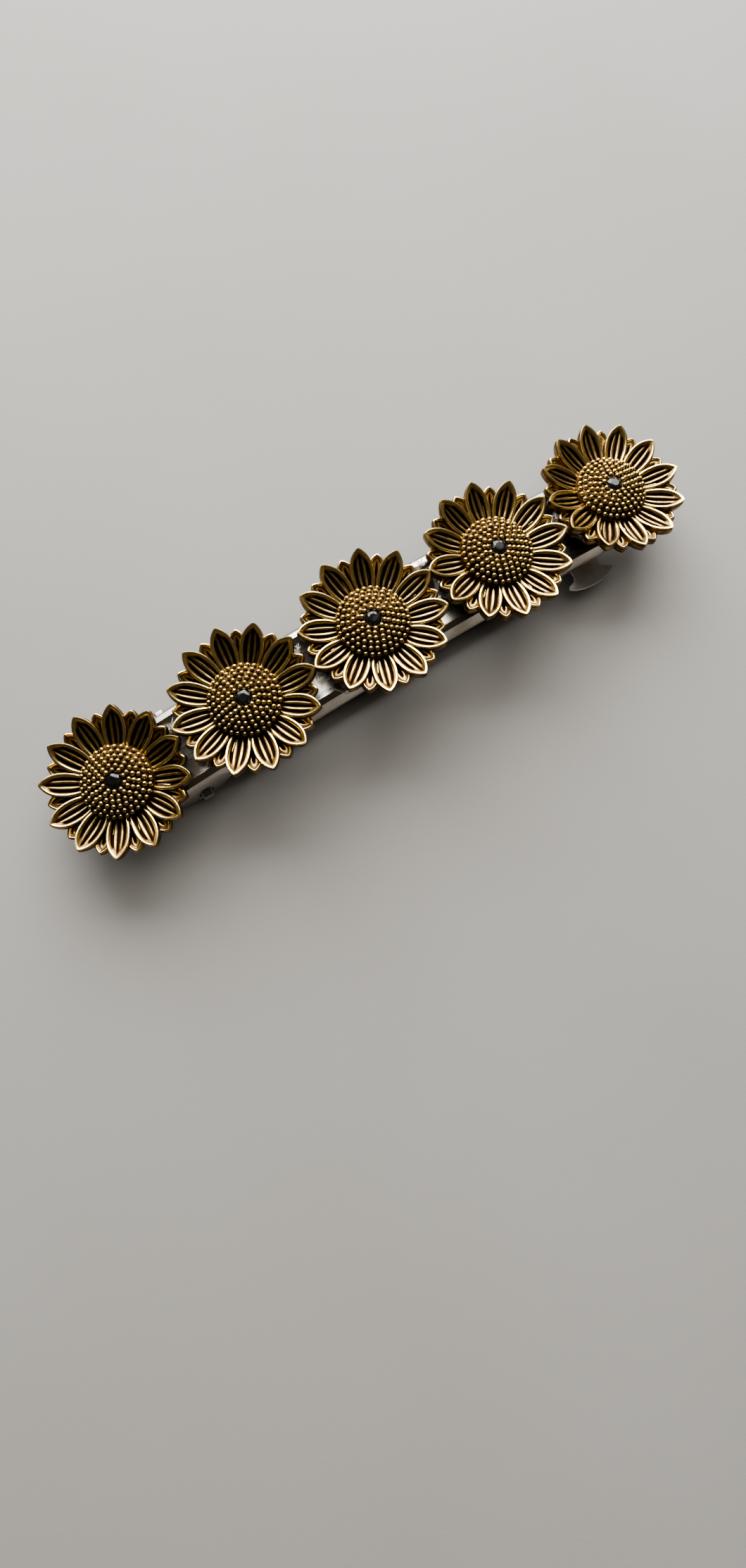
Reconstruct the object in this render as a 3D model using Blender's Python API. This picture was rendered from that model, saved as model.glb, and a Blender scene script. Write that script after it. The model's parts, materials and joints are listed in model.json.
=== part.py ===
"""Hair barrette: five cast sunflowers glued in a row on an arched, spring-loaded metal clip.

The clip lies with its flowers up. X runs along it from the hinge to the catch, Y across it,
Z up, and the origin is under its middle, on the surface that the closed arm rests on.
Run with blender --background --python part.py.
"""

import math

import bmesh
import bpy
from mathutils import Matrix, Vector

MM = 0.001

# Flat sides of the turned pieces
RIVET_SIDES = 8
EAR_HOLE_SIDES = 16
BOSS_SIDES = 24
SEED_SIDES = 20
STONE_SIDES = 8
GLUE_SIDES = 16

# Driving sizes of the clip
ARCH_RADIUS = 231.5 * MM  # of the base plate's top face, along the clip
CROWN_Z = 10.0 * MM  # top face of the base plate at mid length
FLOWER_PITCH = 19.95 * MM  # along the plate's top face
PLATE_END_INSET = 1.9 * MM  # the plate stops this short of the outer flowers' stem axes
PLATE_LENGTH = 4.0 * FLOWER_PITCH - 2.0 * PLATE_END_INSET
PLAIN_SPANS = 14  # lofted lengths between the ears and the rounded end
EAR_RUNOUT = 4.3 * MM
END_RUNOUT = 4.0 * MM
PLATE_HALF_WIDTH = 5.45 * MM  # flat top, to the fold
PLATE_THICKNESS = 0.6 * MM
FLANGE_DEPTH = 2.0 * MM
FLANGE_FLARE = 0.9 * MM  # how far the folded side leans out
RIB_OFFSET = 4.65 * MM  # centre of the raised rib beside each fold
RIB_WIDTH = 0.9 * MM
RIB_HEIGHT = 0.25 * MM

# Hinge
HINGE_S = -31.3 * MM  # along the plate
HINGE_DEPTH = 3.6 * MM  # axis below the plate's top face
EAR_DEPTH = 5.5 * MM
EAR_HALF_LENGTH = 5.0 * MM
EAR_HOLE_RADIUS = 1.15 * MM
PIN_SIDE = 1.5 * MM
PIN_CHAMFER = 0.25 * MM
PIN_PROUD = 0.7 * MM  # past the outside of each ear

# Arm
ARM_HALF_WIDTH = 4.6 * MM
ARM_THICKNESS = 0.6 * MM
ARM_WALL_HEIGHT = 1.0 * MM
ARM_FLAT_START = -25.2 * MM
ARM_FLAT_END = 24.8 * MM
ARM_HEEL = 2.0 * MM  # behind the hinge axis
ARM_CRANK_LENGTH = 3.8 * MM
TONGUE_HEIGHT = 1.9 * MM  # underside of the raised end
TONGUE_END_RADIUS = 1.5 * MM
KNUCKLE_RADIUS = 1.6 * MM

# Catch
CATCH_S = 32.8 * MM
CATCH_SHEET = 0.4 * MM
BRACKET_HALF_WIDTH = 3.9 * MM
BRACKET_HALF_LENGTH = 4.0 * MM
LIP_LENGTH = 2.8 * MM  # the part that holds the tension spring's end
LEG_HALF_LENGTH = 1.8 * MM
LEG_ROOT_Y = 4.4 * MM
LEG_FOOT_Y = 2.2 * MM
LEG_DROP = 6.6 * MM
BARB_PROUD = 0.25 * MM
TAB_REACH = 9.3 * MM  # outer edge of the front thumb tab from the middle plane
TAB_HALF_LENGTH = 3.95 * MM
REAR_TAB_REACH = 6.4 * MM  # the rear one is a short lip
REAR_TAB_HALF_LENGTH = 3.0 * MM
TAB_STEM_HALF_LENGTH = 2.4 * MM
TAB_SLOPE = 0.16
RIVET_RADIUS = 0.6 * MM
RIVET_HEAD_RADIUS = 1.0 * MM
RIVET_HEAD_HEIGHT = 0.35 * MM
RIVET_SPACING = 3.9 * MM

# Tension spring
SPRING_HALF_WIDTH = 3.0 * MM
SPRING_THICKNESS = 0.4 * MM
SPRING_FOOT_START = -28.0 * MM
SPRING_FOOT_END = 27.8 * MM
SPRING_FOOT_LENGTH = 4.2 * MM
SPRING_BOW = 3.4 * MM

# Flowers
FLOWER_COUNT = 5
PETAL_COUNT = 12
UPPER_TIP_RADIUS = 10.3 * MM
LOWER_TIP_RADIUS = 9.75 * MM
PETAL_WALL = 1.2 * MM
SEAT_DEPTH = 0.55 * MM  # of the seed head's seat under the upper petals' roots
LOWER_DEPTH = 0.2 * MM
HUB_WALL = 0.7 * MM
HUB_RADIUS = 5.4 * MM
CASTING_HEIGHT = 3.4 * MM  # from the back to the petal tips
HUB_HEIGHT = 1.9 * MM
LAYER_DROP = 1.4 * MM  # lower petals below the upper ones
BOSS_RADIUS = 7.0 * MM
BOSS_HEIGHT = 1.15 * MM
BACK_MARGIN = 0.1 * MM  # the least that a petal stands off the plane of the casting's back
SEED_RADIUS = 5.1 * MM
SEED_RIM_HEIGHT = 0.35 * MM
SEED_DOME_HEIGHT = 1.3 * MM
STONE_RADIUS = 1.1 * MM
STONE_HEIGHT = 0.8 * MM
GLUE_RADIUS = 4.3 * MM
GLUE_THICKNESS = 0.6 * MM
# Each flower was set by hand: its turn about its own axis, and its lean across the clip, in degrees
FLOWER_TURNS = (1.0, 21.0, 10.0, 18.0, 18.0)
FLOWER_LEANS = (1.5, 1.0, -0.5, 0.5, -3.5)

# Fits
SEAT_GAP = 0.3 * MM  # between pieces that lie on each other
RIVET_GAP = 0.1 * MM
PIN_GAP = 0.05 * MM


def clear_scene():
    """Removes every object of the startup scene."""
    for item in list(bpy.data.objects):
        bpy.data.objects.remove(item, do_unlink=True)


def material(name, colour, roughness, metallic, alpha=1.0):
    """A Principled material of one colour."""
    made = bpy.data.materials.new(name)
    made.use_nodes = True
    shader = made.node_tree.nodes["Principled BSDF"]
    shader.inputs["Base Color"].default_value = (*colour, 1.0)
    shader.inputs["Roughness"].default_value = roughness
    shader.inputs["Metallic"].default_value = metallic
    shader.inputs["Alpha"].default_value = alpha
    return made


def finish_mesh(name, shape, surface):
    """Turns a bmesh into a linked object with outward faces."""
    bmesh.ops.recalc_face_normals(shape, faces=shape.faces)
    mesh = bpy.data.meshes.new(name)
    shape.to_mesh(mesh)
    shape.free()
    made = bpy.data.objects.new(name, mesh)
    bpy.context.scene.collection.objects.link(made)
    if surface is not None:
        mesh.materials.append(surface)
    return made


def add_loops(shape, loops):
    """Bridges closed loops of points, equal in number, and caps the first and the last."""
    rings = [[shape.verts.new(point) for point in loop] for loop in loops]
    count = len(rings[0])
    for ring, following in zip(rings, rings[1:]):
        for i in range(count):
            j = (i + 1) % count
            shape.faces.new((ring[i], ring[j], following[j], following[i]))
    shape.faces.new(rings[0])
    shape.faces.new(rings[-1])


def loft(name, loops, surface):
    """A closed solid through the loops."""
    shape = bmesh.new()
    add_loops(shape, loops)
    return finish_mesh(name, shape, surface)


def turned(name, profile, sides, surface, phase=0.0):
    """A solid turned about Z from (radius, height) points; a radius of 0 is a point on the axis."""
    shape = bmesh.new()
    rings = []
    for radius, height in profile:
        if radius == 0.0:
            rings.append([shape.verts.new((0.0, 0.0, height))])
            continue
        ring = []
        for i in range(sides):
            angle = phase + 2.0 * math.pi * i / sides
            ring.append(shape.verts.new((radius * math.cos(angle), radius * math.sin(angle), height)))
        rings.append(ring)
    for ring, following in zip(rings, rings[1:]):
        for i in range(sides):
            j = (i + 1) % sides
            corners = [ring[i % len(ring)], ring[j % len(ring)]]
            corners += [following[j % len(following)], following[i % len(following)]]
            shape.faces.new(list(dict.fromkeys(corners)))
    for ring in (rings[0], rings[-1]):
        if len(ring) > 1:
            shape.faces.new(ring)
    return finish_mesh(name, shape, surface)


def on_arch(s, y, height):
    """The point at s along the plate, y across it and height above its top face."""
    angle = s / ARCH_RADIUS
    reach = ARCH_RADIUS + height
    return Vector((reach * math.sin(angle), y, CROWN_Z - ARCH_RADIUS + reach * math.cos(angle)))


def arch_frame(name, s, height, lean=0.0, turn=0.0):
    """An empty standing on the arch, its Z along the arch's normal."""
    frame = bpy.data.objects.new(name, None)
    bpy.context.scene.collection.objects.link(frame)
    pitch = Matrix.Rotation(s / ARCH_RADIUS, 4, "Y")
    tilt = Matrix.Rotation(lean, 4, "X") @ Matrix.Rotation(turn, 4, "Z")
    frame.matrix_world = Matrix.Translation(on_arch(s, 0.0, height)) @ pitch @ tilt
    return frame


def move_origin(item, origin):
    """Puts the object's origin at a point and leaves its shape where it is."""
    item.data.transform(Matrix.Translation(-origin))
    item.location = origin


def hide_as_cutter(item):
    """Marks a helper that only cuts or joins."""
    item.hide_render = True
    item.display_type = "WIRE"


def boolean(item, helper, operation):
    """Adds a Boolean with a helper object that isn't a piece of its own."""
    hide_as_cutter(helper)
    step = item.modifiers.new(helper.name, "BOOLEAN")
    step.operation = operation
    step.solver = "EXACT"
    step.object = helper


def slab(name, outline, y_low, y_high, surface=None):
    """A plate from an outline of (x, z) points, between two values of y."""
    return loft(name, [[(x, y, z) for x, z in outline] for y in (y_low, y_high)], surface)


def box(name, low, high, surface=None):
    """A block between two corners."""
    outline = [(low[0], low[2]), (high[0], low[2]), (high[0], high[2]), (low[0], high[2])]
    return slab(name, outline, low[1], high[1], surface)


def smooth(item, degrees=35.0):
    """Smooth shading except over edges sharper than the angle."""
    item.data.shade_smooth()
    item.data.set_sharp_from_angle(angle=math.radians(degrees))


# Base plate ---------------------------------------------------------------------------------


def wall_depth(s):
    """How far the plate's sides reach below its top face: deeper at the hinge ears."""
    share = abs(s - HINGE_S) / EAR_HALF_LENGTH
    if share >= 1.0:
        return FLANGE_DEPTH
    return FLANGE_DEPTH + (EAR_DEPTH - FLANGE_DEPTH) * (1.0 - share * share) ** 1.3


def plate_section(s):
    """The plate's closed outline across its length at s, as (y, height) points."""
    end_radius = 2.5 * MM
    past = max(0.0, abs(s) - (PLATE_LENGTH / 2.0 - end_radius))
    inset = end_radius - math.sqrt(max(0.0, end_radius**2 - past**2))
    knee = 0.8 * FLANGE_DEPTH
    knee_out = 0.8 * FLANGE_FLARE
    out = [
        (RIB_OFFSET - RIB_WIDTH / 2.0, 0.0),
        (RIB_OFFSET, RIB_HEIGHT),
        (RIB_OFFSET + RIB_WIDTH / 2.0, 0.0),
        (PLATE_HALF_WIDTH, -0.1 * MM),
        (PLATE_HALF_WIDTH + knee_out, -knee),
        (PLATE_HALF_WIDTH + FLANGE_FLARE, -wall_depth(s)),
        (PLATE_HALF_WIDTH + FLANGE_FLARE - PLATE_THICKNESS, -wall_depth(s)),
        (PLATE_HALF_WIDTH + knee_out - PLATE_THICKNESS, -knee),
        (PLATE_HALF_WIDTH - PLATE_THICKNESS, -PLATE_THICKNESS),
    ]
    half = [(y - inset, height) for y, height in out]
    return half + [(-y, height) for y, height in reversed(half)]


def make_base_plate(surface):
    """The arched plate with its folded sides, ribs and hinge ears."""
    half = PLATE_LENGTH / 2.0
    end_steps = [half - step * MM for step in (0.0, 0.3, 1.2, 2.5)]
    ear_steps = [HINGE_S + EAR_HALF_LENGTH * i / 6.0 for i in range(-6, 7)]
    first = HINGE_S + EAR_HALF_LENGTH + EAR_RUNOUT
    last = half - END_RUNOUT
    plain = [first + (last - first) * i / PLAIN_SPANS for i in range(PLAIN_SPANS + 1)]
    kept_ears = [s for s in ear_steps if s > -end_steps[-1]]
    stations = sorted([-s for s in end_steps] + kept_ears + plain + end_steps)
    loops = [[on_arch(s, y, height) for y, height in plate_section(s)] for s in stations]
    plate = loft("base_plate", loops, surface)
    hole = turned(
        "ear_hole_cutter",
        [(EAR_HOLE_RADIUS, 2.0 * PLATE_HALF_WIDTH), (EAR_HOLE_RADIUS, -2.0 * PLATE_HALF_WIDTH)],
        EAR_HOLE_SIDES,
        None,
    )
    hole.rotation_euler = (math.radians(90.0), 0.0, 0.0)
    hole.location = hinge_point()
    boolean(plate, hole, "DIFFERENCE")
    for i, s in enumerate(rivet_places()):
        cutter = turned(
            f"plate_rivet_cutter_{i}",
            [(RIVET_RADIUS + PIN_GAP, 2.0 * MM), (RIVET_RADIUS + PIN_GAP, -2.0 * MM)],
            RIVET_SIDES,
            None,
        )
        cutter.parent = arch_frame(f"plate_rivet_place_{i}", s, 0.0)
        boolean(plate, cutter, "DIFFERENCE")
    return plate


def hinge_point():
    """The middle of the hinge axis."""
    return on_arch(HINGE_S, 0.0, -HINGE_DEPTH)


def make_hinge_pin(surface):
    """The square bar that turns with the arm in the ears' round holes."""
    side = PIN_SIDE / 2.0
    corner = side - PIN_CHAMFER
    section = [(side, corner), (corner, side), (-corner, side), (-side, corner)]
    section += [(-x, -z) for x, z in section]
    reach = PLATE_HALF_WIDTH + FLANGE_FLARE + PIN_PROUD
    pin = slab("hinge_pin", section, -reach, reach, surface)
    pin.location = hinge_point()
    return pin


# Arm ----------------------------------------------------------------------------------------


def arm_underside(heel_x, hinge_z):
    """Points along the arm's underside from the heel to the foot of the raised tongue."""
    return [
        (heel_x, hinge_z),
        (ARM_FLAT_START - ARM_CRANK_LENGTH, hinge_z),
        (ARM_FLAT_START, 0.0),
        (ARM_FLAT_END, 0.0),
        (ARM_FLAT_END + ARM_CRANK_LENGTH, TONGUE_HEIGHT),
    ]


def arm_wall_outline(pin, heel_x, hinge_z):
    """One side wall of the arm: a round knuckle at the pin, and a low rail along the rest."""
    embed = 0.1 * MM
    low = [(x, z + embed) for x, z in arm_underside(heel_x, hinge_z)]
    rail = ARM_WALL_HEIGHT
    top = [
        (ARM_FLAT_END + ARM_CRANK_LENGTH, TONGUE_HEIGHT + ARM_THICKNESS - embed),
        (ARM_FLAT_END - 0.4 * MM, rail),
        (ARM_FLAT_START + 0.4 * MM, rail),
    ]
    for degrees in (-20.0, 10.0, 40.0, 70.0, 100.0, 130.0, 160.0):
        angle = math.radians(degrees)
        top.append((pin.x + KNUCKLE_RADIUS * math.cos(angle), pin.z + KNUCKLE_RADIUS * math.sin(angle)))
    return low + top


def catch_centre():
    """Where the catch's legs cross the tongue."""
    return on_arch(CATCH_S, 0.0, -(CROWN_Z - TONGUE_HEIGHT) * 0.7)


def make_arm(surface):
    """The arm: a shallow channel, cranked down between its hinge and its raised, slotted tongue."""
    pin = hinge_point()
    heel_x = pin.x - ARM_HEEL
    hinge_z = pin.z - PIN_SIDE / 2.0 - SEAT_GAP - ARM_THICKNESS - 0.35 * MM
    floor_half = ARM_HALF_WIDTH - 0.1 * MM
    low = arm_underside(heel_x, hinge_z)
    floor = low + [(x, z + ARM_THICKNESS) for x, z in reversed(low)]
    arm = slab("clasp_arm", floor, -floor_half, floor_half, surface)

    slot_x = catch_centre().x
    slot_half = LEG_HALF_LENGTH + 0.6 * MM
    tongue_start = ARM_FLAT_END + ARM_CRANK_LENGTH - 0.5 * MM
    tongue_end = slot_x + slot_half + 2.4 * MM
    tongue_half = ARM_HALF_WIDTH - 0.4 * MM
    outline = [(tongue_start, tongue_half), (tongue_start, -tongue_half)]
    for side in (-1.0, 1.0):
        for degrees in (90.0, 60.0, 30.0, 0.0)[:: 1 if side < 0 else -1]:
            angle = math.radians(degrees)
            x = tongue_end - TONGUE_END_RADIUS * (1.0 - math.cos(angle))
            y = side * (tongue_half - TONGUE_END_RADIUS * (1.0 - math.sin(angle)))
            outline.append((x, y))
    levels = (TONGUE_HEIGHT + 0.02 * MM, TONGUE_HEIGHT + ARM_THICKNESS - 0.02 * MM)
    tongue = loft("tongue_join", [[(x, y, z) for x, y in outline] for z in levels], None)
    boolean(arm, tongue, "UNION")
    for side in (-1.0, 1.0):
        inner, outer = sorted((side * (ARM_HALF_WIDTH - ARM_THICKNESS), side * ARM_HALF_WIDTH))
        wall = slab(f"arm_wall_{'front' if side < 0 else 'rear'}", arm_wall_outline(pin, heel_x, hinge_z), inner, outer)
        boolean(arm, wall, "UNION")

    slot_y = LEG_FOOT_Y + BARB_PROUD + 0.1 * MM
    slot = box(
        "tongue_slot_cutter",
        (slot_x - slot_half, -slot_y, TONGUE_HEIGHT - 1.0 * MM),
        (slot_x + slot_half, slot_y, TONGUE_HEIGHT + 2.0 * MM),
    )
    boolean(arm, slot, "DIFFERENCE")
    half = PIN_SIDE / 2.0 + PIN_GAP
    reach = ARM_HALF_WIDTH + 1.0 * MM
    socket = box("pin_socket_cutter", (-half, -reach, -half), (half, reach, half))
    socket.location = pin
    boolean(arm, socket, "DIFFERENCE")
    for helper in [step.object for step in arm.modifiers]:
        helper.location -= pin
    move_origin(arm, pin)
    for helper in [step.object for step in arm.modifiers]:
        helper.parent = arm
    return arm


# Catch --------------------------------------------------------------------------------------


def rivet_places():
    """Distances along the plate of the spring's rivet and of the catch's two rivets."""
    spring = SPRING_FOOT_START + SPRING_FOOT_LENGTH / 2.0
    return (spring, CATCH_S - RIVET_SPACING / 2.0, CATCH_S + RIVET_SPACING / 2.0)


def bracket_top():
    """Height of the catch bracket's and the spring foot's upper face."""
    return -PLATE_THICKNESS - SEAT_GAP


def make_bracket(surface):
    """The catch's flat base under the plate, with a lowered lip that holds the spring's end."""
    top = bracket_top()
    lip_top = top - CATCH_SHEET - SEAT_GAP
    start = CATCH_S - BRACKET_HALF_LENGTH
    end = CATCH_S + BRACKET_HALF_LENGTH
    upper = [(start - LIP_LENGTH, lip_top), (start - 0.2 * MM, lip_top), (start + 0.5 * MM, top), (end, top)]
    outline = upper + [(s, height - CATCH_SHEET) for s, height in reversed(upper)]
    loops = []
    for y in (-BRACKET_HALF_WIDTH, BRACKET_HALF_WIDTH):
        loops.append([on_arch(s, y, height) for s, height in outline])
    bracket = loft("catch_bracket", loops, surface)
    for i, s in enumerate(rivet_places()[1:]):
        hole = [(RIVET_RADIUS + PIN_GAP, 2.0 * MM), (RIVET_RADIUS + PIN_GAP, -3.0 * MM)]
        cutter = turned(f"bracket_rivet_cutter_{i}", hole, RIVET_SIDES, None)
        cutter.parent = arch_frame(f"bracket_rivet_place_{i}", s, 0.0)
        boolean(bracket, cutter, "DIFFERENCE")
    return bracket


def make_rivet(name, s, surface):
    """A rivet with a low head on the plate's top face and one under the piece that it holds."""
    head = RIVET_GAP + RIVET_HEAD_HEIGHT
    under = bracket_top() - CATCH_SHEET - RIVET_GAP
    profile = [
        (RIVET_HEAD_RADIUS * 0.7, head),
        (RIVET_HEAD_RADIUS, RIVET_GAP + 0.1 * MM),
        (RIVET_HEAD_RADIUS, RIVET_GAP),
        (RIVET_RADIUS, RIVET_GAP),
        (RIVET_RADIUS, under),
        (RIVET_HEAD_RADIUS, under),
        (RIVET_HEAD_RADIUS * 0.7, under - RIVET_HEAD_HEIGHT),
    ]
    rivet = turned(name, profile, RIVET_SIDES, surface)
    rivet.parent = arch_frame(f"{name}_place", s, 0.0)
    return rivet


def tab_outline(reach, half):
    """A thumb tab's plan: a stem that ends in a wide crescent, as (s, y) points."""
    stem = TAB_STEM_HALF_LENGTH
    span = reach - LEG_ROOT_Y
    side = [
        (stem + 0.1 * MM, LEG_ROOT_Y - 0.1 * MM),
        (stem - 0.1 * MM, LEG_ROOT_Y + 0.53 * span),
        (stem + 0.2 * MM, LEG_ROOT_Y + 0.65 * span),
        (half - 0.2 * MM, LEG_ROOT_Y + 0.72 * span),
        (half, LEG_ROOT_Y + 0.80 * span),
        (half * 0.75, LEG_ROOT_Y + 0.91 * span),
        (half * 0.4, LEG_ROOT_Y + 0.98 * span),
    ]
    return side + [(0.0, reach)] + [(-s, y) for s, y in reversed(side)]


def make_wing(name, side, reach, half, surface):
    """One sprung side of the catch: a leg with a barb, and the thumb tab, of this reach and half length, that moves it."""
    axis_height = bracket_top() - CATCH_SHEET / 2.0
    knee = -2.55 * MM
    thick = CATCH_SHEET / 2.0
    foot = -LEG_DROP
    section = [
        (LEG_ROOT_Y - thick, axis_height + thick),
        (LEG_ROOT_Y - thick, knee),
        (LEG_FOOT_Y - CATCH_SHEET, -4.9 * MM),
        (LEG_FOOT_Y - CATCH_SHEET, foot),
        (LEG_FOOT_Y - 0.1 * MM, foot),
        (LEG_FOOT_Y + BARB_PROUD, foot + 0.5 * MM),
        (LEG_FOOT_Y, foot + 0.7 * MM),
        (LEG_FOOT_Y, -4.9 * MM),
        (LEG_ROOT_Y + thick, knee),
        (LEG_ROOT_Y + thick, axis_height + thick),
    ]
    loops = []
    for s in (CATCH_S - LEG_HALF_LENGTH, CATCH_S + LEG_HALF_LENGTH):
        loops.append([on_arch(s, side * y, height) for y, height in section])
    wing = loft(name, loops, surface)
    tab_loops = []
    for drop in (0.0, CATCH_SHEET):
        tab_loops.append(
            [
                on_arch(CATCH_S + s, side * y, knee + 0.1 * MM - drop - TAB_SLOPE * (y - LEG_ROOT_Y))
                for s, y in tab_outline(reach, half)
            ]
        )
    tab = loft(f"{name}_tab_join", tab_loops, None)
    boolean(wing, tab, "UNION")
    axis = on_arch(CATCH_S, side * LEG_ROOT_Y, axis_height)
    move_origin(wing, axis)
    tab.location = -axis
    tab.parent = wing
    return wing


# Tension spring -----------------------------------------------------------------------------


def spring_height(s):
    """Height of the spring's upper face over s: flat feet, and a bow towards the arm between them."""
    start = SPRING_FOOT_START + SPRING_FOOT_LENGTH
    end = SPRING_FOOT_END - SPRING_FOOT_LENGTH
    if s <= start or s >= end:
        return bracket_top()
    share = (s - start) / (end - start)
    return bracket_top() - SPRING_BOW * 0.5 * (1.0 - math.cos(2.0 * math.pi * share))


def make_spring(surface):
    """The bowed strip that presses the hair against the arm."""
    start = SPRING_FOOT_START + SPRING_FOOT_LENGTH
    end = SPRING_FOOT_END - SPRING_FOOT_LENGTH
    stations = [SPRING_FOOT_START] + [start + (end - start) * i / 20.0 for i in range(21)] + [SPRING_FOOT_END]
    loops = []
    for s in stations:
        top = spring_height(s)
        corners = [(-SPRING_HALF_WIDTH, top), (SPRING_HALF_WIDTH, top)]
        corners += [(y, top - SPRING_THICKNESS) for y, top in reversed(corners)]
        loops.append([on_arch(s, y, height) for y, height in corners])
    spring = loft("tension_spring", loops, surface)
    hole = [(RIVET_RADIUS + PIN_GAP, 2.0 * MM), (RIVET_RADIUS + PIN_GAP, -3.0 * MM)]
    cutter = turned("spring_rivet_cutter", hole, RIVET_SIDES, None)
    cutter.parent = arch_frame("spring_rivet_hole_place", rivet_places()[0], 0.0)
    boolean(spring, cutter, "DIFFERENCE")
    return spring


# Flowers ------------------------------------------------------------------------------------


def petal_star(name, tip_radius, shape_points, offset, rim_height, recess, surface):
    """A ring of petals as one solid bowl: sunk by recess at the hub, rising to the tips."""

    rise = (CASTING_HEIGHT - HUB_HEIGHT) / (UPPER_TIP_RADIUS - HUB_RADIUS)

    def top(radius):
        return rim_height - (tip_radius - radius) * rise

    def underside(height):
        return max(height, BACK_MARGIN)

    outline = []
    for petal in range(PETAL_COUNT):
        middle = 2.0 * math.pi * petal / PETAL_COUNT + offset
        for degrees, share in shape_points:
            angle = middle + math.radians(degrees)
            outline.append((share * tip_radius, angle))
    floor = top(HUB_RADIUS) - recess
    back = underside(floor - HUB_WALL)
    shape = bmesh.new()
    rings = []
    levels = (
        [(HUB_RADIUS, angle, floor) for _, angle in outline],
        [(HUB_RADIUS, angle, top(HUB_RADIUS)) for _, angle in outline],
        [(radius, angle, top(radius)) for radius, angle in outline],
        [(radius, angle, underside(top(radius) - PETAL_WALL)) for radius, angle in outline],
        [(HUB_RADIUS, angle, back) for _, angle in outline],
    )
    for level in levels:
        ring = []
        for radius, angle, height in level:
            ring.append(shape.verts.new((radius * math.cos(angle), radius * math.sin(angle), height)))
        rings.append(ring)
    count = len(outline)
    for ring, following in zip(rings, rings[1:]):
        for i in range(count):
            j = (i + 1) % count
            shape.faces.new((ring[i], ring[j], following[j], following[i]))
    shape.faces.new(rings[0])
    shape.faces.new(rings[-1])
    return finish_mesh(name, shape, surface)


UPPER_PETAL = ((-15.0, 0.57), (-12.8, 0.72), (-7.8, 0.87), (0.0, 1.0), (7.8, 0.87), (12.8, 0.72))
LOWER_PETAL = ((-15.0, 0.64), (-8.5, 0.85), (0.0, 1.0), (8.5, 0.85))


def make_casting(name, place, surface):
    """One flower casting: twelve upper and twelve lower petals on a flat boss."""
    casting = petal_star(
        name, UPPER_TIP_RADIUS, UPPER_PETAL, 0.0, CASTING_HEIGHT, SEAT_DEPTH, surface
    )
    casting.parent = place
    half_step = math.pi / PETAL_COUNT
    low_rim = CASTING_HEIGHT - LAYER_DROP
    lower = petal_star(
        f"{name}_lower_join", LOWER_TIP_RADIUS, LOWER_PETAL, half_step, low_rim, LOWER_DEPTH, None
    )
    lower.parent = place
    boolean(casting, lower, "UNION")
    boss = turned(f"{name}_boss_join", [(BOSS_RADIUS, BOSS_HEIGHT), (BOSS_RADIUS, 0.0)], BOSS_SIDES, None, 0.02)
    boss.parent = place
    boolean(casting, boss, "UNION")
    return casting


def seed_seat():
    """Height of the seed head's underside over the casting's back."""
    return HUB_HEIGHT - SEAT_DEPTH + SEAT_GAP


def make_seed_head(name, place, surface):
    """The domed centre, with a socket for the stone."""
    low = seed_seat()
    rim = low + SEED_RIM_HEIGHT
    socket = STONE_RADIUS + 0.2 * MM
    profile = [(socket, rim + SEED_DOME_HEIGHT - STONE_HEIGHT)]
    for share in (socket / SEED_RADIUS, 0.5, 0.75, 0.92, 1.0):
        profile.append((share * SEED_RADIUS, rim + SEED_DOME_HEIGHT * math.sqrt(1.0 - share * share)))
    profile.append((SEED_RADIUS, low))
    head = turned(name, profile, SEED_SIDES, surface)
    smooth(head)
    head.parent = place
    return head


def make_stone(name, place, surface):
    """The faceted stone: table, crown, girdle and pavilion."""
    girdle = seed_seat() + SEED_RIM_HEIGHT + SEED_DOME_HEIGHT
    profile = [
        (STONE_RADIUS * 0.58, girdle + 0.4 * STONE_HEIGHT),
        (STONE_RADIUS, girdle + 0.05 * STONE_HEIGHT),
        (STONE_RADIUS, girdle),
        (0.0, girdle - 0.6 * STONE_HEIGHT),
    ]
    stone = turned(name, profile, STONE_SIDES, surface)
    stone.parent = place
    return stone


def make_glue_pad(name, place, station, surface):
    """The pad of clear adhesive between a casting and the plate, wavy round its edge, clear of rivet heads."""
    loops = []
    for height, share in ((0.0, 1.0), (-GLUE_THICKNESS, 0.92)):
        loop = []
        for i in range(GLUE_SIDES):
            angle = 2.0 * math.pi * i / GLUE_SIDES
            radius = GLUE_RADIUS * share * (1.0 - 0.08 * (1.0 + math.cos(3.0 * angle)) / 2.0)
            loop.append((radius * math.cos(angle), radius * math.sin(angle), height))
        loops.append(loop)
    pad = loft(name, loops, surface)
    pad.parent = place
    clear_radius = RIVET_HEAD_RADIUS + SEAT_GAP
    clear_height = RIVET_HEAD_HEIGHT + SEAT_GAP
    for i, s in enumerate(rivet_places()):
        if abs(s - station) >= GLUE_RADIUS + clear_radius:
            continue
        profile = [(clear_radius, clear_height), (clear_radius, -clear_height)]
        cutter = turned(f"{name}_rivet_cutter_{i}", profile, RIVET_SIDES, None)
        cutter.parent = arch_frame(f"{name}_rivet_place_{i}", s, 0.0)
        boolean(pad, cutter, "DIFFERENCE")
    return pad


def make_flower(index, surfaces):
    """One flower, its seed head, stone and glue, standing on the arch."""
    number = index + 1
    s = (index - (FLOWER_COUNT - 1) / 2.0) * FLOWER_PITCH
    back = GLUE_THICKNESS + 2.0 * SEAT_GAP
    lean = math.radians(FLOWER_LEANS[index])
    place = arch_frame(f"flower_{number}_place", s, back, lean, math.radians(FLOWER_TURNS[index]))
    make_casting(f"flower_{number}_petals", place, surfaces["gold"])
    make_seed_head(f"flower_{number}_seed_head", place, surfaces["seed"])
    make_stone(f"flower_{number}_stone", place, surfaces["stone"])
    glue_place = arch_frame(f"flower_{number}_glue_place", s, back - SEAT_GAP, lean / 2.0)
    make_glue_pad(f"flower_{number}_glue", glue_place, s, surfaces["glue"])


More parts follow.
